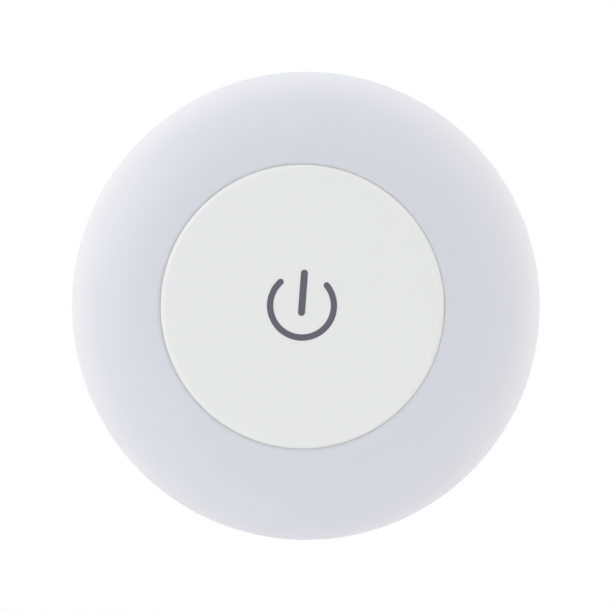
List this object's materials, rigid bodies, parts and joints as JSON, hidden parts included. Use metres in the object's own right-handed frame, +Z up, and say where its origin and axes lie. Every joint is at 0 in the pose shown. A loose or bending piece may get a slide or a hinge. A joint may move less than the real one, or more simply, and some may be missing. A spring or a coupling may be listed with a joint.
{
  "type": "night light",
  "caption": "Round push-button night light for a wall: milky diffuser ring around a press cap with a power symbol, battery bay and keyholes at the back.",
  "frame": {"origin": "centre of the back face that lies on the wall, on the lamp's axis", "axes": "+Z up as it hangs, -Y out of the wall towards the room, +Y into the wall, +X to the right as seen from the room"},
  "size_m": [0.08, 0.028, 0.08],
  "materials": {
    "housing_white": "fine satin moulded ABS",
    "opal_diffuser": "milky translucent, satin",
    "cap_white": "fine satin moulded ABS",
    "symbol_grey": "flush dark grey inlay",
    "reflector_white": "glossy white",
    "screw_steel": "zinc plated",
    "switch_black": "moulded black",
    "switch_steel": "pressed sheet",
    "plunger_white": "smooth",
    "pin_tin": "tinned",
    "solder": "bright solder",
    "spring_steel": "nickel plated wire",
    "board_white": "white solder mask",
    "led_white": "moulded package",
    "led_phosphor": "silicone with phosphor",
    "resistor_black": "glazed chip",
    "cell_steel": "nickel plated can",
    "cell_sleeve": "plain shrink sleeve",
    "contact_nickel": "nickel plated strip",
    "wire_red": "insulation",
    "wire_black": "insulation",
    "foam_grey": "soft closed cell foam"
  },
  "bodies": {
    "lamp": {"rear_housing": "housing_white", "keyhole_caps": "housing_white", "diffuser_ring": "opal_diffuser", "inner_frame": "reflector_white", "housing_screws": "screw_steel", "switch_body": "switch_black", "switch_cover": "switch_steel", "plunger_spring": "spring_steel", "switch_pins": "pin_tin", "switch_solder": "solder", "led_board": "board_white", "led_packages": "led_white", "led_phosphor": "led_phosphor", "led_resistors": "resistor_black", "cell_left": "cell_steel", "cell_middle": "cell_steel", "cell_right": "cell_steel", "cell_left_sleeve": "cell_sleeve", "cell_middle_sleeve": "cell_sleeve", "cell_right_sleeve": "cell_sleeve", "spring_left": "spring_steel", "spring_middle": "spring_steel", "spring_right": "spring_steel", "contact_positive": "contact_nickel", "contact_negative": "contact_nickel", "contact_link_upper": "contact_nickel", "contact_link_lower": "contact_nickel", "wire_positive": "wire_red", "wire_negative": "wire_black", "wire_solder": "solder"},
    "button": {"push_cap": "cap_white", "power_symbol": "symbol_grey"},
    "plunger": {"switch_plunger": "plunger_white"},
    "door": {"battery_door": "housing_white", "door_foam": "foam_grey"}
  },
  "joints": [
    {"name": "cap_press", "type": "slide", "parent": "lamp", "child": "button", "axis": [0, 1, 0], "range_m": [0, 0.0016], "stiffness_N_per_m": 800, "springref_m": -0.001},
    {"name": "plunger_press", "type": "slide", "parent": "lamp", "child": "plunger", "axis": [0, 1, 0], "range_m": [0, 0.0016], "deforming": ["plunger_spring"]},
    {"name": "door_hinge", "type": "hinge", "parent": "lamp", "child": "door", "pos_m": [0, 0, -0.0258], "axis": [-1, 0, 0], "range_deg": [0, 70]}
  ],
  "couplings": [
    {"joint": "plunger_press", "follows": "cap_press", "ratio": 1}
  ]
}
